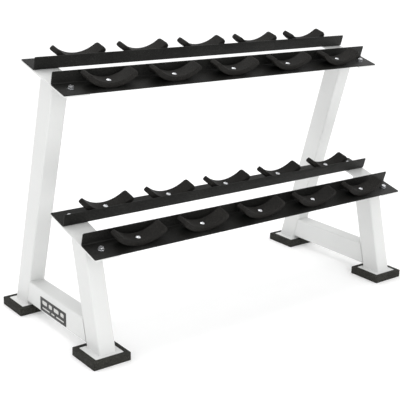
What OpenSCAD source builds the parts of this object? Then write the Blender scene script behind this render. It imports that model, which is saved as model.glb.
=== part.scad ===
// Two-tier dumbbell rack: two leaning side frames carry four bent angle rails,
// and every rail carries a row of curved saddles that cradle the dumbbell heads.
// X runs along the rails, -Y is the front where the user stands, +Z is up.
// The origin is on the floor, midway between the four feet.

/* [Overall] */
// Length of every rail, which is the length of a tier
rail_l = 1376; // [1120:1:1800]
// Height of the middle of the top tier's plate
top_h = 859; // [650:1:1100]
// Height of the middle of the lower tier's plate
lower_h = 388; // [300:1:480]
// Distance from the front feet to the rear feet, centre to centre
foot_span = 492; // [400:1:640]
// Lean of every leg from the vertical, in degrees
lean = 15; // [8:0.5:18]
// Slope of both tiers, down towards the front, in degrees
tilt = 15; // [0:0.5:22]

/* [Tubes] */
// Width of a leg or base tube along X
tube_w = 60; // [40:0.5:75]
// Depth of a leg or base tube in the side frame's plane
tube_d = 80; // [62:0.5:97]
// Wall of the tubes
tube_t = 2.5; // [1.5:0.1:4]
// Outer corner radius of the tubes
tube_r = 6; // [4.5:0.1:9]
// Height of the base tube's centreline
base_h = 80; // [76:0.5:120]

/* [Plates] */
// Width of plate left on each side of a leg, on the plate welded on top of it
plate_margin = 16; // [5:0.5:35]
// Thickness of that plate
plate_t = 5; // [3:0.1:10]
// Corner radius of that plate
plate_r = 3; // [1:0.5:10]
// Width of foot plate left in front of and behind a leg
foot_margin = 10; // [3:0.5:25]
// Thickness of the foot plate
foot_plate_t = 5; // [3:0.1:8]

/* [Rubber feet] */
// Rubber left around the foot plate's pocket
rubber_rim = 16.5; // [10:0.5:30]
// Height of the rubber foot
rubber_h = 27.5; // [15:0.5:35]
// Corner radius of the rubber foot
rubber_r = 4; // [2:0.5:9.5]
// Gap between the foot plate and its pocket, on each side
pocket_gap = 0.5; // [0.2:0.1:1.5]
// How far the rubber stands above the foot plate
rubber_lip = 0.2; // [0:0.1:3]

/* [Rails] */
// Clear distance between the two rails of a tier
rail_gap = 112; // [90:0.5:160]
// Width of a rail's bed flange, which carries the saddles
rail_bed = 87; // [70:0.5:110]
// Height of a rail's upright flange
rail_up = 44.5; // [20:0.5:80]
// Thickness of the rail's sheet
rail_t = 3; // [2:0.1:5]
// Inner radius of the rail's bend
bend_r = 4; // [1:0.5:6]
// Radius of the flanges' free corners
rail_corner = 4; // [1:0.5:12]

/* [Saddles] */
// Saddles on each rail
saddles = 5; // [3:1:5]
// Distance from the rail bolts to the middle of the first saddle
saddle_end = 133.5; // [110:0.5:160]
// Radius of the saddle's hollow
saddle_r = 120; // [95:0.1:160]
// Straight distance across the saddle's hollow, tip to tip
saddle_chord = 168; // [110:0.5:178]
// Thickness of the saddle's shell
saddle_t = 18; // [6:0.5:20]
// Width of the saddle across the rail
saddle_w = 51; // [30:0.5:62]
// Radius of the saddle's tip corners
saddle_corner = 8; // [1:0.5:14]
// Height of the flat pad under the saddle
pad_h = 1; // [0.5:0.1:6]
// Length of that pad along the rail
pad_l = 44; // [30:0.5:60]

/* [Saddle screws] */
// Diameter of a saddle screw
screw_d = 8; // [5:0.5:10]
// Diameter of its button head
screw_head_d = 18; // [13:0.5:20]
// Height of its button head
screw_head_h = 3.6; // [3.2:0.1:6.5]
// Depth of the seat sunk into the saddle for the head
seat_depth = 1; // [0.5:0.1:3]
// Gap around the head in its seat
seat_gap = 1; // [0.5:0.1:2]
// Diameter of the washer under the rail
screw_washer_d = 17; // [15:0.5:24]
// Thickness of that washer
screw_washer_t = 1.6; // [1:0.1:3]
// Nut size across its flats
screw_nut_af = 13; // [13:0.5:17]
// Height of that nut
screw_nut_h = 8; // [5:0.5:10]

/* [Rail bolts] */
// Diameter of a rail bolt
bolt_d = 10; // [8:0.1:12]
// Size of its hexagon across the flats, head and nut
bolt_af = 17; // [15:0.5:20]
// Height of the bolt's head
bolt_head_h = 7.5; // [5:0.5:10]
// Height of the bolt's nut
bolt_nut_h = 8.5; // [6:0.5:12]
// Diameter of the washers
bolt_washer_d = 21; // [20:0.5:30]
// Thickness of the washers
bolt_washer_t = 2; // [1:0.1:4]

/* [Fastener fits] */
// Extra diameter of a drilled hole over its bolt or screw
hole_clear = 1; // [0.4:0.1:2]
// Extra diameter of a nut's bore over its thread
thread_clear = 0.1; // [0.06:0.02:0.4]
// Length of thread that stands out past a nut
thread_out = 3; // [1:0.5:6]

/* [Marking plate] */
// Length of the blank plate on the left base tube
label_l = 176; // [60:1:200]
// Height of that plate
label_h = 49.5; // [20:0.5:60]
// Thickness of that plate
label_t = 1; // [0.5:0.1:3]
// Corner radius of that plate
label_r = 3; // [1:0.5:8]
// Distance of its middle behind the middle of the rack
label_y = 13; // [0:1:30]
// Height of its lower edge above the base tube's round lower corner
label_low = 0.5; // [0:0.5:8]

/* [Hidden] */
$fn = 96;
// The side frames stand so that their plates end flush with the rails
plate_w = tube_w + 2 * plate_margin;
frame_x = rail_l / 2 - plate_w / 2;
foot_y = foot_span / 2;
foot_plate = tube_d / cos(lean) + 2 * foot_margin;
foot_top = rubber_h - rubber_lip;
top_y = foot_y - (top_h - foot_top) * tan(lean);
lower_y = -foot_y + (lower_h - foot_top) * tan(lean);
base_reach = foot_y - (base_h - foot_top) * tan(lean);
pocket = foot_plate + 2 * pocket_gap;
rubber_w = pocket + 2 * rubber_rim;
plate_l = rail_gap + 2 * rail_bed;
bed_mid = rail_gap / 2 + rail_bed / 2;
pitch = (2 * frame_x - 2 * saddle_end) / (saddles - 1);
hollow_h = pad_h + saddle_t;
saddle_a = asin(saddle_chord / 2 / saddle_r);
screw_len = hollow_h - seat_depth + rail_t + screw_washer_t + screw_nut_h + thread_out;
bolt_len = bolt_washer_t + rail_t + plate_t + bolt_washer_t + bolt_nut_h + thread_out;
steel_white = [0.90, 0.91, 0.91];
rail_black = [0.20, 0.20, 0.19];
rubber_black = [0.10, 0.10, 0.10];
zinc = [0.80, 0.81, 0.83];
far = 2000;

FRAME_NODES = [
    "left_rear_leg", "left_front_leg", "left_base_tube", "left_top_plate", "left_lower_plate",
    "left_rear_foot_plate", "left_front_foot_plate", "left_rear_rubber_foot", "left_front_rubber_foot",
    "right_rear_leg", "right_front_leg", "right_base_tube", "right_top_plate", "right_lower_plate",
    "right_rear_foot_plate", "right_front_foot_plate", "right_rear_rubber_foot", "right_front_rubber_foot",
    "marking_plate"
];
RAIL_NODES = ["top_rear_rail", "top_front_rail", "lower_rear_rail", "lower_front_rail"];
SADDLE_NODES = [
    for (r = ["top_rear", "top_front", "lower_rear", "lower_front"])
        for (i = [1 : saddles]) str(r, "_saddle_", i)
];
FASTENER_NODES = [
    "saddle_screws", "saddle_washers", "saddle_nuts", "rail_bolts", "rail_bolt_washers", "rail_bolt_nuts"
];

// ---- Places ----

// A tier's own axes: Y up the slope, Z square to it, origin at the middle of its plates' top
module on_top_tier() {
    translate([0, top_y, top_h]) rotate([tilt, 0, 0]) children();
}

module on_lower_tier() {
    translate([0, lower_y, lower_h]) rotate([tilt, 0, 0]) children();
}

// Middle of a rail's bed, end is 1 for the rear rail and -1 for the front rail
module on_bed(end) {
    translate([0, end * bed_mid, rail_t]) children();
}

// Every saddle place on all four rails
module at_every_saddle() {
    for (i = [1 : saddles], end = [-1, 1]) {
        on_top_tier() on_bed(end) translate([saddle_x(i), 0, 0]) children();
        on_lower_tier() on_bed(end) translate([saddle_x(i), 0, 0]) children();
    }
}

// Every bolt place, two on each plate
module at_every_bolt() {
    for (side = [-1, 1], end = [-1, 1]) {
        on_top_tier() on_bed(end) translate([side * frame_x, 0, 0]) children();
        on_lower_tier() on_bed(end) translate([side * frame_x, 0, 0]) children();
    }
}

function saddle_x(i) = (i - (saddles + 1) / 2) * pitch;

// ---- Shapes that several pieces share ----

// Rectangle with four round corners, centred
module round_rect(w, d, r) {
    square([w - 2 * r, d], center = true);
    square([w, d - 2 * r], center = true);
    for (x = [-1, 1], y = [-1, 1]) translate([x * (w / 2 - r), y * (d / 2 - r)]) circle(r = r);
}

module round_plate(w, d, t, r) {
    linear_extrude(height = t) round_rect(w, d, r);
}

// Hollow rectangular tube along Z, centred on the origin
module tube(l) {
    translate([0, 0, -l / 2]) linear_extrude(height = l) difference() {
        round_rect(tube_w, tube_d, tube_r);
        round_rect(tube_w - 2 * tube_t, tube_d - 2 * tube_t, tube_r - tube_t);
    }
}

// Everything below the top of the foot plates
module below_feet() {
    translate([0, 0, foot_top - far / 2]) cube([far, far, far], center = true);
}

// Everything above the underside of a plate, in the tier's own axes
module above_plate() {
    translate([0, 0, far / 2 - plate_t]) cube([far, far, far], center = true);
}

// The outside of a leg as a solid bar; end is 1 for the rear leg and -1 for the front leg
module leg_bar(end) {
    translate([0, end * foot_y, foot_top]) rotate([end * lean, 0, 0])
        cube([tube_w + 4, tube_d, far], center = true);
}

// Hexagon prism with its corners turned off at the top
module hexagon(af, h) {
    corner = af / cos(30);
    intersection() {
        cylinder(h = h, d = corner, $fn = 6);
        cylinder(h = h, d1 = corner + 1.2 * h, d2 = af * 0.97);
    }
}

module ring(outer, inner, h) {
    difference() {
        cylinder(h = h, d = outer);
        translate([0, 0, -1]) cylinder(h = h + 2, d = inner);
    }
}

// ---- Side frames ----

module rear_leg(side) {
    color(steel_white) translate([side * frame_x, 0, 0]) difference() {
        translate([0, foot_y, foot_top]) rotate([lean, 0, 0]) tube(2 * top_h + 400);
        below_feet();
        on_top_tier() above_plate();
    }
}

module front_leg(side) {
    color(steel_white) translate([side * frame_x, 0, 0]) difference() {
        translate([0, -foot_y, foot_top]) rotate([-lean, 0, 0]) tube(2 * lower_h + 400);
        below_feet();
        on_lower_tier() above_plate();
    }
}

// The base tube ends against the inner faces of the two legs
module base_tube(side) {
    color(steel_white) translate([side * frame_x, 0, 0]) difference() {
        translate([0, 0, base_h]) rotate([90, 0, 0]) tube(2 * base_reach);
        leg_bar(1);
        leg_bar(-1);
    }
}

// Plate welded on a leg, with one bolt hole under each rail
module tier_plate(side) {
    color(steel_white) translate([side * frame_x, 0, -plate_t]) difference() {
        round_plate(plate_w, plate_l, plate_t, plate_r);
        for (end = [-1, 1]) translate([0, end * bed_mid, -1])
            cylinder(h = plate_t + 2, d = bolt_d + hole_clear);
    }
}

module foot_plate_piece(side, end) {
    color(steel_white) translate([side * frame_x, end * foot_y, foot_top - foot_plate_t])
        round_plate(foot_plate, foot_plate, foot_plate_t, plate_r);
}

// Rubber foot with a pocket that the foot plate drops into
module rubber_foot(side, end) {
    color(rubber_black) translate([side * frame_x, end * foot_y, 0]) difference() {
        round_plate(rubber_w, rubber_w, rubber_h, rubber_r);
        translate([0, 0, foot_top - foot_plate_t])
            round_plate(pocket, pocket, rubber_h, plate_r + pocket_gap);
    }
}

// Blank plate on the outer face of the left base tube
module marking_plate() {
    flat_bottom = base_h - tube_d / 2 + tube_r;
    color(rubber_black) translate([-frame_x - tube_w / 2, label_y, flat_bottom + label_low + label_h / 2])
        rotate([0, -90, 0]) round_plate(label_h, label_l, label_t, label_r);
}

// ---- Rails ----

// Flat strip from y = 0 to y = w, with round corners along its free edge
module strip(w) {
    linear_extrude(height = rail_t) {
        translate([-rail_l / 2, 0]) square([rail_l, w - rail_corner]);
        translate([rail_corner - rail_l / 2, 0]) square([rail_l - 2 * rail_corner, w]);
        for (x = [-1, 1]) translate([x * (rail_l / 2 - rail_corner), w - rail_corner])
            circle(r = rail_corner);
    }
}

// Quarter bend along X between the bed and the upright flange
module bend() {
    outer = bend_r + rail_t;
    translate([rail_l / 2, outer, outer]) rotate([0, -90, 0]) linear_extrude(height = rail_l)
        intersection() {
            difference() {
                circle(r = outer);
                circle(r = bend_r);
            }
            translate([-outer, -outer]) square([outer, outer]);
        }
}

// Angle rail from its fold line outwards, with the saddle and bolt holes drilled through its bed
module angle_rail() {
    outer = bend_r + rail_t;
    difference() {
        union() {
            translate([0, outer, 0]) strip(rail_bed - outer);
            bend();
            translate([0, 0, outer]) rotate([90, 0, 0]) mirror([0, 0, 1]) strip(rail_up - outer);
        }
        for (i = [1 : saddles]) translate([saddle_x(i), rail_bed / 2, -1])
            cylinder(h = rail_t + 2, d = screw_d + hole_clear);
        for (x = [-1, 1]) translate([x * frame_x, rail_bed / 2, -1])
            cylinder(h = rail_t + 2, d = bolt_d + hole_clear);
    }
}

// Both rails turn their upright flanges towards the middle of the tier
module rail(end) {
    color(rail_black) mirror([0, end < 0 ? 1 : 0, 0]) translate([0, rail_gap / 2, 0]) angle_rail();
}

// ---- Saddles ----

// Everything on the inner side of one tip, with that tip's corners rounded
module inside_tip(tip) {
    reach = 2 * (saddle_r + saddle_t);
    translate([0, 0, hollow_h + saddle_r]) rotate([0, -tip * saddle_a, 0])
        translate([-tip * reach, 0, -reach]) linear_extrude(height = 2 * reach)
            round_rect(2 * reach, saddle_w, saddle_corner);
}

// Cross-section along the rail: the curved shell and the flat pad that it stands on
module saddle_section() {
    translate([0, hollow_h + saddle_r]) difference() {
        circle(r = saddle_r + saddle_t, $fn = 192);
        circle(r = saddle_r, $fn = 192);
    }
    translate([-pad_l / 2, 0]) square([pad_l, pad_h + saddle_t / 2]);
}

// The section cut off at both tips, with the screw hole and its seat through the middle
module saddle() {
    color(rail_black) difference() {
        intersection() {
            translate([0, saddle_w, 0]) rotate([90, 0, 0])
                linear_extrude(height = 2 * saddle_w) saddle_section();
            inside_tip(1);
            inside_tip(-1);
        }
        translate([0, 0, -1]) cylinder(h = hollow_h + 2, d = screw_d + hole_clear);
        translate([0, 0, hollow_h - seat_depth])
            cylinder(h = saddle_t, d = screw_head_d + 2 * seat_gap);
    }
}

// ---- Fasteners, each drawn above the rail's bed ----

// Button-head screw with a hexagon socket, seated in the saddle
module saddle_screw() {
    dome = (pow(screw_head_d / 2, 2) + pow(screw_head_h, 2)) / (2 * screw_head_h);
    color(zinc) translate([0, 0, hollow_h - seat_depth]) {
        difference() {
            intersection() {
                cylinder(h = screw_head_h, d = screw_head_d);
                translate([0, 0, screw_head_h - dome]) sphere(r = dome);
            }
            translate([0, 0, screw_head_h * 0.45]) cylinder(h = screw_head_h, d = screw_d * 0.7, $fn = 6);
        }
        translate([0, 0, -screw_len]) cylinder(h = screw_len + 1, d = screw_d);
    }
}

module saddle_washer() {
    color(zinc) translate([0, 0, -rail_t - screw_washer_t])
        ring(screw_washer_d, screw_d + hole_clear, screw_washer_t);
}

module saddle_nut() {
    color(zinc) translate([0, 0, -rail_t - screw_washer_t]) mirror([0, 0, 1]) difference() {
        hexagon(screw_nut_af, screw_nut_h);
        translate([0, 0, -1]) cylinder(h = screw_nut_h + 2, d = screw_d + thread_clear);
    }
}

// Hexagon bolt that clamps a rail's bed to the plate below it
module rail_bolt() {
    color(zinc) translate([0, 0, bolt_washer_t]) {
        hexagon(bolt_af, bolt_head_h);
        translate([0, 0, -bolt_len]) cylinder(h = bolt_len + 1, d = bolt_d);
    }
}

module rail_bolt_washers() {
    color(zinc) for (z = [0, -rail_t - plate_t - bolt_washer_t]) translate([0, 0, z])
        ring(bolt_washer_d, bolt_d + hole_clear, bolt_washer_t);
}

module rail_bolt_nut() {
    color(zinc) translate([0, 0, -rail_t - plate_t - bolt_washer_t]) mirror([0, 0, 1]) difference() {
        hexagon(bolt_af, bolt_nut_h);
        translate([0, 0, -1]) cylinder(h = bolt_nut_h + 2, d = bolt_d + thread_clear);
    }
}

// ---- The whole rack, piece by piece ----

rear_leg(-1);  // left_rear_leg
front_leg(-1);  // left_front_leg
base_tube(-1);  // left_base_tube
on_top_tier() tier_plate(-1);  // left_top_plate
on_lower_tier() tier_plate(-1);  // left_lower_plate
foot_plate_piece(-1, 1);  // left_rear_foot_plate
foot_plate_piece(-1, -1);  // left_front_foot_plate
rubber_foot(-1, 1);  // left_rear_rubber_foot
rubber_foot(-1, -1);  // left_front_rubber_foot
rear_leg(1);  // right_rear_leg
front_leg(1);  // right_front_leg
base_tube(1);  // right_base_tube
on_top_tier() tier_plate(1);  // right_top_plate
on_lower_tier() tier_plate(1);  // right_lower_plate
foot_plate_piece(1, 1);  // right_rear_foot_plate
foot_plate_piece(1, -1);  // right_front_foot_plate
rubber_foot(1, 1);  // right_rear_rubber_foot
rubber_foot(1, -1);  // right_front_rubber_foot
marking_plate();
on_top_tier() rail(1);  // top_rear_rail
on_top_tier() rail(-1);  // top_front_rail
on_lower_tier() rail(1);  // lower_rear_rail
on_lower_tier() rail(-1);  // lower_front_rail
for (i = [1 : saddles]) {
    on_top_tier() on_bed(1) translate([saddle_x(i), 0, 0]) saddle();
    on_top_tier() on_bed(-1) translate([saddle_x(i), 0, 0]) saddle();
    on_lower_tier() on_bed(1) translate([saddle_x(i), 0, 0]) saddle();
    on_lower_tier() on_bed(-1) translate([saddle_x(i), 0, 0]) saddle();
}
at_every_saddle() saddle_screw();  // saddle_screws
at_every_saddle() saddle_washer();  // saddle_washers
at_every_saddle() saddle_nut();  // saddle_nuts
at_every_bolt() rail_bolt();  // rail_bolts
at_every_bolt() rail_bolt_washers();
at_every_bolt() rail_bolt_nut();  // rail_bolt_nuts
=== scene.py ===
# %% [markdown]
# # A two-tier dumbbell rack
#
# This lesson dresses a measured steel rack: two white side frames, four black
# angle rails, twenty curved saddles and four rubber feet. The measured solids are
# loaded first and never moved. Where a solid would look too sharp, because real
# sheet, rubber and mouldings have soft edges, a new piece is modelled in its place.

# %% Load the measured rack
import bpy
from math import asin, cos, radians, tan
from mathutils import Matrix, Vector


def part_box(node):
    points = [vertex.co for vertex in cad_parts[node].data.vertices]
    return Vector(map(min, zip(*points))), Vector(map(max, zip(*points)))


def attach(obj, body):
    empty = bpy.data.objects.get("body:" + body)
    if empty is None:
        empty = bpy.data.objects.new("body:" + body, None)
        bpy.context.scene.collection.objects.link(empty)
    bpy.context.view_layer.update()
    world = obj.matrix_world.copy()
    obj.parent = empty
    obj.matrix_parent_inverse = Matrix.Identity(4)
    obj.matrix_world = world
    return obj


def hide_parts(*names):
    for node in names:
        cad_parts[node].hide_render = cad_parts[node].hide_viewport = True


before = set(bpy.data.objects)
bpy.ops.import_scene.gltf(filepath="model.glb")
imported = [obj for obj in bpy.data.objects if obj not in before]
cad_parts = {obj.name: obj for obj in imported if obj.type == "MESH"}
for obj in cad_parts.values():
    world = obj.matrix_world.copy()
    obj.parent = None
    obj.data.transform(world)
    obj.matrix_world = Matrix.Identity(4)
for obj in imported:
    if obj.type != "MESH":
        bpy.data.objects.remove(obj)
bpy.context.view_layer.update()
print("nodes:", len(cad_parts))

# %% [markdown]
# ## Camera
#
# The camera stands a little left of the rack and looks slightly down on it, through
# a long lens, so that the upright tubes stay nearly parallel. Three turns place it:
# the heading round Z, the pitch below the horizon, and a slight roll.

# %% Place the camera
camera_data = bpy.data.cameras.new("camera")
camera_data.lens = 81.23
camera_data.sensor_width = 36.0
camera = bpy.data.objects.new("camera", camera_data)
bpy.context.collection.objects.link(camera)
heading = Matrix.Rotation(radians(-38.03), 4, "Z")
pitch = Matrix.Rotation(radians(90.0 - 16.98), 4, "X")
roll = Matrix.Rotation(radians(1.65), 4, "Z")
camera.matrix_world = Matrix.Translation((-2.0079, -2.4779, 1.3272)) @ heading @ pitch @ roll
bpy.context.scene.camera = camera
print("camera at", [round(v, 3) for v in camera.matrix_world.translation])

# %% [markdown]
# ## Small helpers
#
# An operator acts on everything that is selected, so each piece starts with nothing
# selected. A finished piece has its place in its mesh and its object at the origin,
# as every measured solid has.

# %% Selecting
def nothing_selected():
    """Leave edit mode and let go of every object."""
    if bpy.context.mode != "OBJECT":
        bpy.ops.object.mode_set(mode="OBJECT")
    bpy.ops.object.select_all(action="DESELECT")


def only(piece):
    """Select one object and make it active."""
    nothing_selected()
    bpy.context.view_layer.objects.active = piece
    piece.select_set(True)
    return piece


def pick(piece, kind, test):
    """In edit mode, select the vertices, edges or faces that pass a test, by their place."""
    bpy.ops.mesh.select_mode(type=kind)
    bpy.ops.mesh.select_all(action="DESELECT")
    bpy.ops.object.mode_set(mode="OBJECT")
    mesh = piece.data
    parts = {"VERT": mesh.vertices, "EDGE": mesh.edges, "FACE": mesh.polygons}[kind]
    count = 0
    for part in parts:
        points = [part.co] if kind == "VERT" else [mesh.vertices[i].co for i in part.vertices]
        part.select = bool(test(points))
        count += part.select
    bpy.ops.object.mode_set(mode="EDIT")
    return count


# %% Finishing
def apply_modifier(piece, kind, **settings):
    """Add one modifier and apply it at once."""
    only(piece)
    modifier = piece.modifiers.new(kind.lower(), kind)
    for key, value in settings.items():
        setattr(modifier, key, value)
    bpy.ops.object.modifier_apply(modifier=modifier.name)


def settle(piece, place, material, slot, *nodes):
    """Put a piece in its place for good, and let it stand for its measured solids."""
    only(piece)
    piece.matrix_world = place
    bpy.ops.object.transform_apply(location=True, rotation=True, scale=True)
    bpy.ops.object.shade_smooth_by_angle(angle=radians(35))
    piece.data.materials.clear()
    piece.data.materials.append(material)
    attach(piece, "root")
    if nodes:
        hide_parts(*nodes)
    return piece


def twin(piece, name):
    """A copy with its own mesh."""
    copy = piece.copy()
    copy.data = piece.data.copy()
    copy.name = name
    bpy.context.collection.objects.link(copy)
    return copy


# %% [markdown]
# ## Where the tiers are
#
# Both tiers slope down towards the front. Each tier gets a matrix: its origin is the
# middle of the plates' upper face, its Y runs up the slope and its Z stands square to
# it. A rail or saddle is then modelled flat, at the origin, and laid on the tier.

# %% Tier axes from the plates
TILT = radians(15.0)
PLATE_T = 0.005


def tier_axes(plate_name):
    """The tier's own axes, found from the plate that carries it."""
    low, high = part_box(plate_name)
    middle = (low + high) / 2
    slope = Matrix.Rotation(TILT, 4, "X")
    lift = slope @ Vector((0, 0, PLATE_T / 2))
    return Matrix.Translation((0, middle.y + lift.y, middle.z + lift.z)) @ slope


TIERS = {"top": tier_axes("left_top_plate"), "lower": tier_axes("left_lower_plate")}
for tier, axes in TIERS.items():
    print(tier, "tier at", [round(v, 4) for v in axes.translation])

# %% [markdown]
# ## White powder coat
#
# The side frames are steel tube with a baked white powder coat: satin, with a very
# fine orange peel and a faint unevenness in tone. The tone comes from a broad noise
# through a colour ramp, and the peel from a fine noise in a bump node.

# %% Material helpers
def new_material(name):
    """A node material with only its shader and output."""
    material = bpy.data.materials.new(name)
    material.use_nodes = True
    nodes = material.node_tree.nodes
    shader = nodes["Principled BSDF"]
    where = nodes.new("ShaderNodeTexCoord")
    return material, nodes, material.node_tree.links, shader, where


def noise(nodes, links, where, scale, detail, rough=0.5):
    """Noise on object coordinates: the scale is in features for each metre."""
    texture = nodes.new("ShaderNodeTexNoise")
    texture.inputs["Scale"].default_value = scale
    texture.inputs["Detail"].default_value = detail
    texture.inputs["Roughness"].default_value = rough
    links.new(where.outputs["Object"], texture.inputs["Vector"])
    return texture


def tones(nodes, links, source, stops):
    """Turn a grey value into colours, from a list of (position, colour)."""
    ramp = nodes.new("ShaderNodeValToRGB")
    elements = ramp.color_ramp.elements
    while len(elements) < len(stops):
        elements.new(0.5)
    for element, (position, colour) in zip(elements, stops):
        element.position = position
        element.color = (*colour, 1.0)
    links.new(source, ramp.inputs["Fac"])
    return ramp


def bump(nodes, links, shader, source, strength, distance, below=None):
    """Raise the surface by a grey value, on top of another bump if one is given."""
    node = nodes.new("ShaderNodeBump")
    node.inputs["Strength"].default_value = strength
    node.inputs["Distance"].default_value = distance
    links.new(source, node.inputs["Height"])
    if below is not None:
        links.new(below.outputs["Normal"], node.inputs["Normal"])
    links.new(node.outputs["Normal"], shader.inputs["Normal"])
    return node


def roughness(nodes, links, shader, source, low, high):
    """Let a grey value move the roughness between two limits."""
    spread = nodes.new("ShaderNodeMapRange")
    spread.inputs["To Min"].default_value = low
    spread.inputs["To Max"].default_value = high
    links.new(source, spread.inputs["Value"])
    links.new(spread.outputs["Result"], shader.inputs["Roughness"])


# %% White powder coat
def white_powder_coat():
    material, nodes, links, shader, where = new_material("white powder coat")
    broad = noise(nodes, links, where, 7.0, 3.0)
    tone = tones(nodes, links, broad.outputs["Fac"],
                 [(0.3, (0.668, 0.674, 0.666)), (0.7, (0.690, 0.696, 0.688))])
    links.new(tone.outputs["Color"], shader.inputs["Base Color"])
    peel = noise(nodes, links, where, 420.0, 2.0)
    bump(nodes, links, shader, peel.outputs["Fac"], 0.12, 0.0008)
    roughness(nodes, links, shader, broad.outputs["Fac"], 0.34, 0.46)
    shader.inputs["Specular IOR Level"].default_value = 0.42
    return material


WHITE = white_powder_coat()
print("made", WHITE.name)

# %% [markdown]
# ## Black textured powder coat
#
# The rails have a dry, grainy black coat. Up close it is a field of fine bumps that
# catch the light as small grey specks, so it never looks pure black. A fine noise
# gives the bump, and the specks are painted glints in the colour from the same noise;
# a broad one keeps large faces from looking flat.

# %% Black coats
def grainy_black(name, dark, light, grain, rough_low, rough_high, strength):
    material, nodes, links, shader, where = new_material(name)
    fine = noise(nodes, links, where, grain, 3.0, 0.6)
    broad = noise(nodes, links, where, 9.0, 3.0)
    mix = nodes.new("ShaderNodeMath")
    mix.operation = "MULTIPLY_ADD"
    mix.inputs[1].default_value = 0.35
    links.new(broad.outputs["Fac"], mix.inputs[0])
    links.new(fine.outputs["Fac"], mix.inputs[2])
    # The brightest grain is painted glints: the colour is lightened where bumps would catch the
    # light.
    tone = tones(nodes, links, mix.outputs["Value"],
                 [(0.50, dark), (0.78, light), (0.92, tuple(2.0 * c for c in light))])
    links.new(tone.outputs["Color"], shader.inputs["Base Color"])
    bump(nodes, links, shader, fine.outputs["Fac"], strength, 0.0010)
    roughness(nodes, links, shader, broad.outputs["Fac"], rough_low, rough_high)
    shader.inputs["Specular IOR Level"].default_value = 0.15
    return material


GRAIN = 330.0  # bumps for each metre
RAIL_BLACK = grainy_black("black textured coat", (0.003, 0.003, 0.0028), (0.015, 0.015, 0.0137),
                          GRAIN, 0.44, 0.56, 0.60)
SADDLE_BLACK = grainy_black("black moulded saddle", (0.004, 0.0038, 0.0034),
                            (0.015, 0.0140, 0.0125), GRAIN, 0.62, 0.76, 0.35)
RUBBER = grainy_black("black rubber", (0.008, 0.008, 0.0072), (0.036, 0.036, 0.031),
                      GRAIN, 0.68, 0.82, 0.25)
print("made", RAIL_BLACK.name, SADDLE_BLACK.name, RUBBER.name)

# %% [markdown]
# ## Bright zinc
#
# Screws, bolts, washers and nuts are zinc plated: bright metal with a faint blue
# cast, and small cloudy changes in how sharply they mirror the room.

# %% Bright zinc
def bright_zinc():
    material, nodes, links, shader, where = new_material("bright zinc")
    cloud = noise(nodes, links, where, 260.0, 3.0)
    tone = tones(nodes, links, cloud.outputs["Fac"],
                 [(0.3, (0.56, 0.57, 0.59)), (0.7, (0.82, 0.83, 0.85))])
    links.new(tone.outputs["Color"], shader.inputs["Base Color"])
    shader.inputs["Metallic"].default_value = 1.0
    roughness(nodes, links, shader, cloud.outputs["Fac"], 0.18, 0.34)
    scratch = noise(nodes, links, where, 1500.0, 2.0)
    bump(nodes, links, shader, scratch.outputs["Fac"], 0.08, 0.0003)
    return material


ZINC = bright_zinc()
print("made", ZINC.name)

# %% [markdown]
# ## Plates with softened edges
#
# The plates on top of the legs, and the plates under them, are cut from flat bar. A
# cut plate has small round corners and edges that the coat softens. A cube is flattened
# to the plate's size, its four standing edges are rounded, and then every edge is
# broken by a narrow bevel.

# %% A flat plate
def flat_plate(name, width, depth, thickness, corner, edge):
    nothing_selected()
    bpy.ops.mesh.primitive_cube_add(size=1)
    plate = bpy.context.object
    plate.name = name
    plate.scale = (width, depth, thickness)
    bpy.ops.object.transform_apply(location=False, rotation=False, scale=True)
    bpy.ops.object.mode_set(mode="EDIT")
    pick(plate, "EDGE", lambda p: abs(p[0].z - p[1].z) > thickness / 2)
    bpy.ops.mesh.bevel(offset=corner, segments=5, affect="EDGES")
    bpy.ops.object.mode_set(mode="OBJECT")
    apply_modifier(plate, "BEVEL", width=edge, segments=2, limit_method="ANGLE",
                   angle_limit=radians(50))
    return plate


# %% Plates on the legs
PLATE_W, PLATE_L = 0.092, 0.286
PLATE_CORNER, PLATE_EDGE = 0.003, 0.0007
for tier, axes in TIERS.items():
    for side in ("left", "right"):
        node = f"{side}_{tier}_plate"
        low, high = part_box(node)
        plate = flat_plate(f"{side}_{tier}_tier_plate", PLATE_W, PLATE_L, PLATE_T,
                           PLATE_CORNER, PLATE_EDGE)
        place = Matrix.Translation(((low.x + high.x) / 2, 0, 0)) @ axes
        settle(plate, place @ Matrix.Translation((0, 0, -PLATE_T / 2)), WHITE, "white_frame", node)
print("tier plates:", 2 * len(TIERS))

# %% Plates under the legs
for side in ("left", "right"):
    for end in ("front", "rear"):
        node = f"{side}_{end}_foot_plate"
        low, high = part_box(node)
        size = high - low
        plate = flat_plate(f"{side}_{end}_base_plate", size.x, size.y, size.z,
                           PLATE_CORNER, PLATE_EDGE)
        settle(plate, Matrix.Translation((low + high) / 2), WHITE, "white_frame", node)
print("foot plates: 4, each", [round(v * 1000, 1) for v in size])

# %% [markdown]
# ## Rubber feet
#
# Each foot is a square moulded block with a pocket that holds the foot plate. The top
# face of a block is inset to leave the rim, pushed down to make the pocket, and all
# edges are rounded as a mould would leave them.

# %% Rubber feet
FOOT_CORNER, POCKET_CORNER, FOOT_EDGE = 0.004, 0.0035, 0.0014
PLATE_ROOM = 0.001  # how much wider the pocket is than its plate


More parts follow.
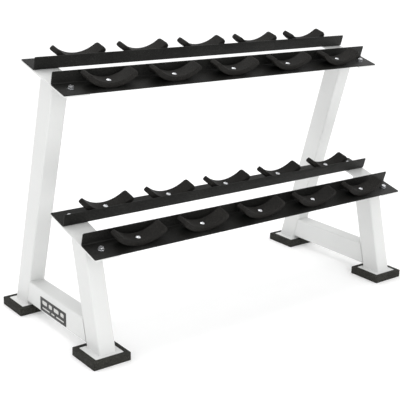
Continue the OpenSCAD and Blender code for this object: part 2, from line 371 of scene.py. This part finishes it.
def rubber_foot(name, size, pocket, depth):
    nothing_selected()
    bpy.ops.mesh.primitive_cube_add(size=1)
    foot = bpy.context.object
    foot.name = name
    foot.scale = size
    bpy.ops.object.transform_apply(location=False, rotation=False, scale=True)
    bpy.ops.object.mode_set(mode="EDIT")
    pick(foot, "FACE", lambda p: min(v.z for v in p) > size.z / 2 - 1e-5)
    bpy.ops.mesh.inset(thickness=(size.x - pocket) / 2, use_even_offset=True)
    bpy.ops.mesh.extrude_region_move(TRANSFORM_OT_translate={"value": (0, 0, -depth)})
    standing = lambda p: abs(p[0].z - p[1].z) > depth / 2
    outside = lambda p: abs(p[0].x) > size.x / 2 - 1e-5
    pick(foot, "EDGE", lambda p: standing(p) and outside(p))
    bpy.ops.mesh.bevel(offset=FOOT_CORNER, segments=5, affect="EDGES")
    pick(foot, "EDGE", lambda p: standing(p) and max(abs(p[0].x), abs(p[0].y)) < pocket / 2 + 1e-5)
    bpy.ops.mesh.bevel(offset=POCKET_CORNER, segments=4, affect="EDGES")
    bpy.ops.object.mode_set(mode="OBJECT")
    apply_modifier(foot, "BEVEL", width=FOOT_EDGE, segments=3, limit_method="ANGLE",
                   angle_limit=radians(50))
    return foot


for side in ("left", "right"):
    for end in ("front", "rear"):
        node = f"{side}_{end}_rubber_foot"
        low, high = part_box(node)
        plate_low, plate_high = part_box(f"{side}_{end}_foot_plate")
        pocket = plate_high.x - plate_low.x + PLATE_ROOM
        foot = rubber_foot(f"{side}_{end}_rubber_block", high - low, pocket, high.z - plate_low.z)
        settle(foot, Matrix.Translation((low + high) / 2), RUBBER, "rubber_foot", node)
print("rubber feet: 4, pocket", round(pocket * 1000, 1), "mm")

# %% [markdown]
# ## Angle rails
#
# A rail is one strip of sheet folded along its length. It is modelled the same way: a
# flat strip, one long edge extruded upwards, the fold rounded with a bevel, the free
# corners clipped round, and the sheet given its thickness by Solidify. Last, the cut
# edges are softened.

# %% Fold a rail
RAIL_GAP, RAIL_BED, RAIL_UP, RAIL_T, FOLD_R = 0.112, 0.087, 0.0445, 0.003, 0.007
RAIL_CORNER, RAIL_EDGE = 0.004, 0.0006


def folded_rail(name, length):
    """A rail from its fold line: bed along +Y, upright flange along +Z."""
    nothing_selected()
    bpy.ops.mesh.primitive_plane_add(size=1)
    rail = bpy.context.object
    rail.name = name
    rail.scale = (length, RAIL_BED, 1)
    rail.location = (0, RAIL_BED / 2, 0)
    bpy.ops.object.transform_apply(location=True, rotation=False, scale=True)
    bpy.ops.object.mode_set(mode="EDIT")
    pick(rail, "EDGE", lambda p: all(abs(v.y) < 1e-6 for v in p))
    bpy.ops.mesh.extrude_region_move(TRANSFORM_OT_translate={"value": (0, 0, RAIL_UP)})
    free = lambda p: p[0].y > RAIL_BED - 1e-6 or p[0].z > RAIL_UP - 1e-6
    pick(rail, "VERT", free)
    bpy.ops.mesh.bevel(offset=RAIL_CORNER, segments=5, affect="VERTICES")
    pick(rail, "EDGE", lambda p: all(abs(v.y) < 1e-6 and abs(v.z) < 1e-6 for v in p))
    bpy.ops.mesh.bevel(offset=FOLD_R, segments=8, affect="EDGES")
    bpy.ops.mesh.select_all(action="SELECT")
    bpy.ops.mesh.normals_make_consistent(inside=False)
    bpy.ops.object.mode_set(mode="OBJECT")
    return rail


def thicken(rail):
    """Give the sheet its thickness on the inner side of the fold."""
    bed = max(rail.data.polygons, key=lambda f: f.area)
    inward = 1 if bed.normal.z > 0 else -1
    apply_modifier(rail, "SOLIDIFY", thickness=RAIL_T, offset=inward)
    apply_modifier(rail, "BEVEL", width=RAIL_EDGE, segments=2, limit_method="ANGLE",
                   angle_limit=radians(60))
    only(rail)
    bpy.ops.object.mode_set(mode="EDIT")
    bpy.ops.mesh.select_all(action="SELECT")
    bpy.ops.mesh.normals_make_consistent(inside=False)
    bpy.ops.object.mode_set(mode="OBJECT")


# %% Lay the rails on both tiers
low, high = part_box("top_rear_rail")
for tier, axes in TIERS.items():
    for end, turn in (("rear", 1), ("front", -1)):
        rail = folded_rail(f"{tier}_{end}_angle", high.x - low.x)
        thicken(rail)
        facing = Matrix.Rotation(radians(0 if turn == 1 else 180), 4, "Z")
        place = axes @ facing @ Matrix.Translation((0, RAIL_GAP / 2, 0))
        settle(rail, place, RAIL_BLACK, "black_rail", f"{tier}_{end}_rail")
print("rails: 4, length", round((high.x - low.x) * 1000), "mm")

# %% [markdown]
# ## Saddles
#
# A saddle is a thick curved strip that cradles one head of a dumbbell. It is easiest to
# shape while it is flat: a plate has its corners rounded, is cut across many times short
# of its ends, and Solidify gives the thickness. A weighted bevel then rounds the ends
# like a finger and only softens the long sides. Simple Deform bends a bar sideways, so
# the bar is laid on its side, bent into its arc and set upright again. A round seat is
# cut for the screw head, and a flat pad is added under it.

# %% The flat bar
SADDLE_R, SADDLE_T, SADDLE_CHORD, SADDLE_W = 0.120, 0.018, 0.168, 0.051
SADDLE_CORNER, TIP_ROUND, SIDE_ROUND = 0.008, 0.0065, 0.0022
PAD_H, PAD_L = 0.0010, 0.044
SEAT_R, SEAT_DEPTH = 0.010, 0.001
HOLLOW_H = PAD_H + SADDLE_T
HALF = asin(SADDLE_CHORD / 2 / SADDLE_R)
ARC = 2 * HALF * SADDLE_R
CUTS = 38


def flat_bar(name):
    """The saddle before it is bent, with its upper face at height 0."""
    nothing_selected()
    bpy.ops.mesh.primitive_plane_add(size=1)
    bar = bpy.context.object
    bar.name = name
    bar.scale = (ARC, SADDLE_W, 1)
    bpy.ops.object.transform_apply(location=False, rotation=False, scale=True)
    bpy.ops.object.mode_set(mode="EDIT")
    bpy.ops.mesh.select_all(action="SELECT")
    bpy.ops.mesh.bevel(offset=SADDLE_CORNER, segments=6, affect="VERTICES")
    for number in range(CUTS + 1):
        bpy.ops.mesh.select_all(action="SELECT")
        across = (number / CUTS - 0.5) * (ARC - 2 * SADDLE_CORNER)
        bpy.ops.mesh.bisect(plane_co=(across, 0, 0), plane_no=(1, 0, 0))
    bpy.ops.object.mode_set(mode="OBJECT")
    apply_modifier(bar, "SOLIDIFY", thickness=SADDLE_T, offset=-1)
    return bar


pattern = flat_bar("saddle_pattern")
print("flat bar", [round(v * 1000, 1) for v in pattern.dimensions], "mm")

# %% Round the ends and the sides
def on_rim(points):
    """True for an edge of the upper or lower outline."""
    level = abs(points[0].z - points[1].z) < 1e-6
    step = abs(points[0].x - points[1].x)
    straight_across = step < 1e-6 and abs(points[0].x) < ARC / 2 - 1e-6
    return level and not straight_across


def tip_share(points):
    """0 along the sides, rising to 1 round the corners to the end."""
    middle = abs(points[0].x + points[1].x) / 2
    return max(0.0, (middle - ARC / 2 + SADDLE_CORNER) / SADDLE_CORNER)


only(pattern)
bpy.ops.object.mode_set(mode="EDIT")
side_weight = SIDE_ROUND / TIP_ROUND
count = pick(pattern, "EDGE", on_rim)
bpy.ops.transform.edge_bevelweight(value=side_weight)
steps = 8
for step in range(1, steps + 1):
    low_share, high_share = (step - 1) / steps, step / steps
    near = lambda p: on_rim(p) and low_share < tip_share(p) <= high_share + 1e-4
    if pick(pattern, "EDGE", near):
        bpy.ops.transform.edge_bevelweight(value=(1 - side_weight) * high_share)
bpy.ops.object.mode_set(mode="OBJECT")
apply_modifier(pattern, "BEVEL", width=TIP_ROUND, segments=5, limit_method="WEIGHT",
               use_clamp_overlap=False)
print("rim edges:", count, "faces after the bevel:", len(pattern.data.polygons))

# %% Bend it into its arc
def roll_over(piece, degrees):
    """Turn a piece about its long axis and keep the turn in the mesh."""
    only(piece)
    piece.rotation_euler.x = radians(degrees)
    bpy.ops.object.transform_apply(location=False, rotation=True, scale=False)


roll_over(pattern, -90)
apply_modifier(pattern, "SIMPLE_DEFORM", deform_method="BEND", deform_axis="Z", angle=2 * HALF)
roll_over(pattern, 90)
bpy.ops.object.mode_set(mode="EDIT")
bpy.ops.mesh.select_all(action="SELECT")
bpy.ops.transform.translate(value=(0, 0, HOLLOW_H))
bpy.ops.mesh.normals_make_consistent(inside=False)
bpy.ops.object.mode_set(mode="OBJECT")
xs = [v.co.x for v in pattern.data.vertices]
zs = [v.co.z for v in pattern.data.vertices]
print("saddle spans", round(min(xs) * 1000, 1), "to", round(max(xs) * 1000, 1), "mm, height",
      round(min(zs) * 1000, 2), "to", round(max(zs) * 1000, 2), "mm")

# %% Cut the seat and add the pad
def seat_cutter():
    nothing_selected()
    bpy.ops.mesh.primitive_cylinder_add(vertices=48, radius=SEAT_R, depth=0.04,
                                        location=(0, 0, HOLLOW_H - SEAT_DEPTH + 0.02))
    return bpy.context.object


cutter = seat_cutter()
apply_modifier(pattern, "BOOLEAN", operation="DIFFERENCE", object=cutter, solver="EXACT")
bpy.data.objects.remove(cutter)
print("saddle shell faces:", len(pattern.data.polygons))


def saddle_pad():
    nothing_selected()
    bpy.ops.mesh.primitive_cube_add(size=1, location=(0, 0, (PAD_H + 0.004) / 2))
    pad = bpy.context.object
    pad.scale = (PAD_L, SADDLE_W - 0.003, PAD_H + 0.004)
    bpy.ops.object.transform_apply(location=True, rotation=False, scale=True)
    apply_modifier(pad, "BEVEL", width=0.0009, segments=2)
    return pad


pad = saddle_pad()
only(pattern)
pad.select_set(True)
bpy.ops.object.join()
print("saddle with its pad:", len(pattern.data.polygons), "faces")

# %% Set five saddles on every rail
for tier, axes in TIERS.items():
    for end, turn in (("rear", 1), ("front", -1)):
        for number in range(1, 6):
            node = f"{tier}_{end}_saddle_{number}"
            low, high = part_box(node)
            saddle = twin(pattern, f"{tier}_{end}_cradle_{number}")
            bed = (RAIL_GAP + RAIL_BED) / 2
            place = axes @ Matrix.Translation(((low.x + high.x) / 2, turn * bed, RAIL_T))
            settle(saddle, place, SADDLE_BLACK, "black_saddle", node)
bpy.data.objects.remove(pattern)

# %% [markdown]
# ## Fasteners and tubes
#
# The measured screws, bolts, washers, nuts and tubes already have their true round
# corners, so they stay as they are and only take their finish.

# %% Give the measured solids their finish
def dress(node, material):
    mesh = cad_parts[node].data
    if not mesh.materials:
        mesh.materials.append(material)
    for index in range(len(mesh.materials)):
        mesh.materials[index] = material


for node in ("saddle_screws", "saddle_washers", "saddle_nuts",
             "rail_bolts", "rail_bolt_washers", "rail_bolt_nuts"):
    dress(node, ZINC)
for side in ("left", "right"):
    for part in ("rear_leg", "front_leg", "base_tube"):
        dress(f"{side}_{part}", WHITE)
print("finished the fasteners and the tubes")

# %% [markdown]
# ## Weld seams
#
# The tubes are welded to their plates all round, and to each other. Under a powder
# coat a weld shows as a soft ripple in the corner. A square loop is cut to the tube's
# outline, turned into a round bead, and laid in the joint. The bead sinks halfway into
# both parts, so only its outer side shows.

# %% Weld loops
TUBE_W, TUBE_D, TUBE_R, LEAN = 0.060, 0.080, 0.006, radians(15.0)
BEAD = 0.0013


def weld_loop(name, width, depth):
    """A round bead round a rectangle with rounded corners, flat in XY."""
    nothing_selected()
    bpy.ops.mesh.primitive_plane_add(size=1)
    loop = bpy.context.object
    loop.name = name
    loop.scale = (width, depth, 1)
    bpy.ops.object.transform_apply(location=False, rotation=False, scale=True)
    bpy.ops.object.mode_set(mode="EDIT")
    bpy.ops.mesh.select_all(action="SELECT")
    bpy.ops.mesh.bevel(offset=TUBE_R, segments=5, affect="VERTICES")
    bpy.ops.mesh.select_all(action="SELECT")
    bpy.ops.mesh.delete(type="ONLY_FACE")
    bpy.ops.object.mode_set(mode="OBJECT")
    bpy.ops.object.convert(target="CURVE")
    loop = bpy.context.object
    loop.data.bevel_depth = BEAD
    loop.data.bevel_resolution = 3
    bpy.ops.object.convert(target="MESH")
    return bpy.context.object


def lay_weld(name, width, depth, place):
    loop = weld_loop(name, width, depth)
    return settle(loop, place, WHITE, "white_frame")


welds = 0
for side in ("left", "right"):
    for part, tier, direction in (("rear_leg", "top", 1), ("front_leg", "lower", -1)):
        leg_low, leg_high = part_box(f"{side}_{part}")
        x = (leg_low.x + leg_high.x) / 2
        end = "rear" if part == "rear_leg" else "front"
        foot_low, foot_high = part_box(f"{side}_{end}_foot_plate")
        foot_y, foot_top = (foot_low.y + foot_high.y) / 2, foot_high.z
        lay_weld(f"{side}_{part}_foot_weld", TUBE_W, TUBE_D / cos(LEAN),
                 Matrix.Translation((x, foot_y, foot_top)))
        apart = LEAN * direction - TILT
        drop = PLATE_T * tan(apart) if direction == -1 else 0.0
        place = Matrix.Translation((x, 0, 0)) @ TIERS[tier]
        lay_weld(f"{side}_{part}_plate_weld", TUBE_W, TUBE_D / cos(apart),
                 place @ Matrix.Translation((0, drop, -PLATE_T)))
        welds += 2
print("weld loops:", welds)

# %% Welds between the base tube and the legs
for side in ("left", "right"):
    tube_low, tube_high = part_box(f"{side}_base_tube")
    middle = (tube_low + tube_high) / 2
    height = tube_high.z - tube_low.z
    foot_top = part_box(f"{side}_rear_foot_plate")[1].z
    for end, sign in (("front", -1), ("rear", 1)):
        foot_low, foot_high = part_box(f"{side}_{end}_foot_plate")
        leg_y = (foot_low.y + foot_high.y) / 2 - sign * (middle.z - foot_top) * tan(LEAN)
        face_y = leg_y - sign * TUBE_D / 2 / cos(LEAN)
        place = (Matrix.Translation((middle.x, face_y, middle.z))
                 @ Matrix.Rotation(sign * LEAN, 4, "X") @ Matrix.Rotation(radians(90), 4, "X"))
        lay_weld(f"{side}_base_tube_{end}_weld", TUBE_W, height / cos(LEAN), place)
        welds += 1
print("weld loops in all:", welds)

# %% [markdown]
# ## Blank marking plate
#
# A black plate sits on the outside of the left base tube. It carries no words, only two
# rows of plain pale bars. Each bar is a thin raised strip with round corners, so it is
# made by the same helper as the plates and laid on the face.

# %% Marking plate finishes
def pale_print():
    material, nodes, links, shader, where = new_material("pale print")
    cloud = noise(nodes, links, where, 180.0, 2.0)
    tone = tones(nodes, links, cloud.outputs["Fac"],
                 [(0.3, (0.50, 0.50, 0.49)), (0.7, (0.62, 0.62, 0.60))])
    links.new(tone.outputs["Color"], shader.inputs["Base Color"])
    roughness(nodes, links, shader, cloud.outputs["Fac"], 0.45, 0.6)
    return material


def black_label():
    material, nodes, links, shader, where = new_material("black label")
    cloud = noise(nodes, links, where, 140.0, 3.0)
    tone = tones(nodes, links, cloud.outputs["Fac"],
                 [(0.3, (0.012, 0.012, 0.012)), (0.7, (0.024, 0.024, 0.024))])
    links.new(tone.outputs["Color"], shader.inputs["Base Color"])
    roughness(nodes, links, shader, cloud.outputs["Fac"], 0.35, 0.5)
    return material


PRINT, LABEL = pale_print(), black_label()

# %% Model the plate flat, then stand it on the tube
low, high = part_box("marking_plate")
label_l, label_h, label_t = high.y - low.y, high.z - low.z, high.x - low.x
ON_TUBE = (Matrix.Translation((low + high) / 2)
           @ Matrix.Rotation(radians(-90), 4, "Z") @ Matrix.Rotation(radians(90), 4, "X"))

label = flat_plate("marking_plate_face", label_l, label_h, label_t * 0.8, 0.003, 0.0002)
shift = Matrix.Translation((0, 0, -label_t * 0.1))
settle(label, ON_TUBE @ shift, LABEL, "marking_plate", "marking_plate")


def raised_bar(name, across, up, width, height):
    bar = flat_plate(name, width, height, label_t * 0.3, min(width, height) * 0.3, 0.00005)
    settle(bar, ON_TUBE @ Matrix.Translation((across, up, label_t * 0.35)), PRINT, "marking_plate")


def row_of_bars(name, up, height, shares, gap):
    """Bars side by side, their widths in the given shares, centred on the plate."""
    span = label_l - 0.030
    room = span - gap * (len(shares) - 1)
    across = -span / 2
    for number, share in enumerate(shares, 1):
        width = room * share / sum(shares)
        raised_bar(f"{name}_{number}", across + width / 2, up, width, height)
        across += width + gap


row_of_bars("marking_upper_bar", 0.0080, 0.0140, (3, 2, 3, 2), 0.013)
row_of_bars("marking_lower_bar", -0.0125, 0.0050, (5, 2, 5), 0.013)
print("marking plate", round(label_l * 1000), "x", round(label_h * 1000), "mm")

# %% [markdown]
# ## Floor and light
#
# The rack stands on a plain pale floor in an even white room. The floor glows a little,
# as a light table does, so that shadows stay faint. One large soft light in front and
# one above shape the saddles, and the white world keeps everything open.

# %% Floor
nothing_selected()
bpy.ops.mesh.primitive_plane_add(size=60, location=(0, 0, 0))
floor = bpy.context.object
floor.name = "floor"
floor_paint, nodes, links, shader, where = new_material("pale floor")
grain = noise(nodes, links, where, 3.0, 2.0)
tone = tones(nodes, links, grain.outputs["Fac"],
             [(0.3, (0.96, 0.96, 0.96)), (0.7, (0.975, 0.975, 0.975))])
links.new(tone.outputs["Color"], shader.inputs["Base Color"])
shader.inputs["Roughness"].default_value = 0.9
shader.inputs["Emission Color"].default_value = (1, 1, 1, 1)
shader.inputs["Emission Strength"].default_value = 0.10
floor.data.materials.append(floor_paint)


# %% Lights
def soft_light(name, place, aim, size, power):
    data = bpy.data.lights.new(name, "AREA")
    data.shape = "DISK"
    data.size = size
    data.energy = power
    lamp = bpy.data.objects.new(name, data)
    bpy.context.collection.objects.link(lamp)
    lamp.location = place
    lamp.rotation_euler = (Vector(aim) - Vector(place)).to_track_quat("-Z", "Y").to_euler()
    return lamp


soft_light("key", (-0.6, -4.6, 2.0), (0, 0, 0.5), 2.6, 36)
soft_light("top", (-0.6, 0.8, 4.2), (0, 0, 0.6), 2.6, 34)
world = bpy.data.worlds.new("white room")
bpy.context.scene.world = world
world.use_nodes = True
world.node_tree.nodes["Background"].inputs["Color"].default_value = (1, 1, 1, 1)
world.node_tree.nodes["Background"].inputs["Strength"].default_value = 1.05
bpy.context.scene.view_settings.view_transform = "Standard"
print("lights:", len(bpy.data.lights))
